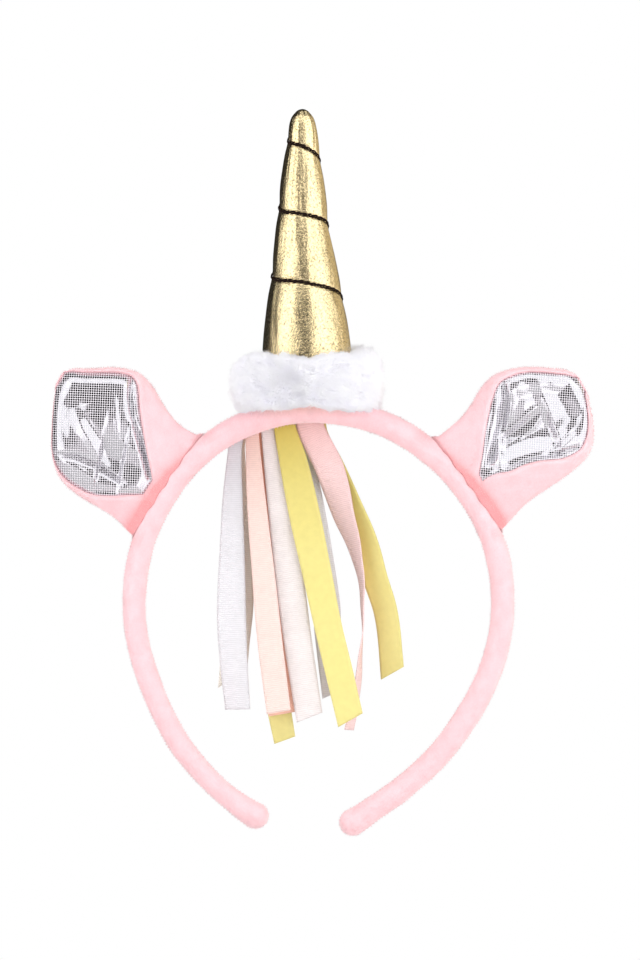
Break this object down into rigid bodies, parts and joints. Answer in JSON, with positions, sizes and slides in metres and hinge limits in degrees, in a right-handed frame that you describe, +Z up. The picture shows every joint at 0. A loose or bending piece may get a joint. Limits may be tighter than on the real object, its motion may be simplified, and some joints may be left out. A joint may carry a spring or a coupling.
{
  "type": "costume headband",
  "caption": "Padded plush costume headband with two folded foil-lined ears, a stuffed metallic horn wound with cord in a fur collar, and ribbon tails hanging behind",
  "frame": {"origin": "under the padded band at its crown, on the face that rests on the head", "axes": "+Z up along the horn, -Y to the front where the ears' foil panels face, +X to the viewer's right seen from the front"},
  "size_m": [0.1949, 0.0591, 0.2616],
  "materials": {
    "pink_plush": "short brushed pile",
    "silver_foil": "dotted mirror foil on cloth",
    "gold_lame": "metallic coated cloth",
    "black_cord": "twisted matt cord",
    "white_fur": "long soft pile",
    "white_ribbon": "ribbed ribbon",
    "pink_ribbon": "ribbed ribbon",
    "yellow_ribbon": "satin ribbon"
  },
  "bodies": {
    "root": {"padded_band": "pink_plush", "ear_left": "pink_plush", "ear_right": "pink_plush", "ear_left_lining": "silver_foil", "ear_right_lining": "silver_foil", "horn": "gold_lame", "spiral_cord": "black_cord", "fur_collar": "white_fur", "ribbon_1": "white_ribbon", "ribbon_2": "white_ribbon", "ribbon_3": "pink_ribbon", "ribbon_4": "pink_ribbon", "ribbon_5": "white_ribbon", "ribbon_6": "yellow_ribbon", "ribbon_7": "yellow_ribbon", "ribbon_8": "white_ribbon", "ribbon_9": "pink_ribbon", "ribbon_10": "yellow_ribbon"}
  },
  "joints": []
}
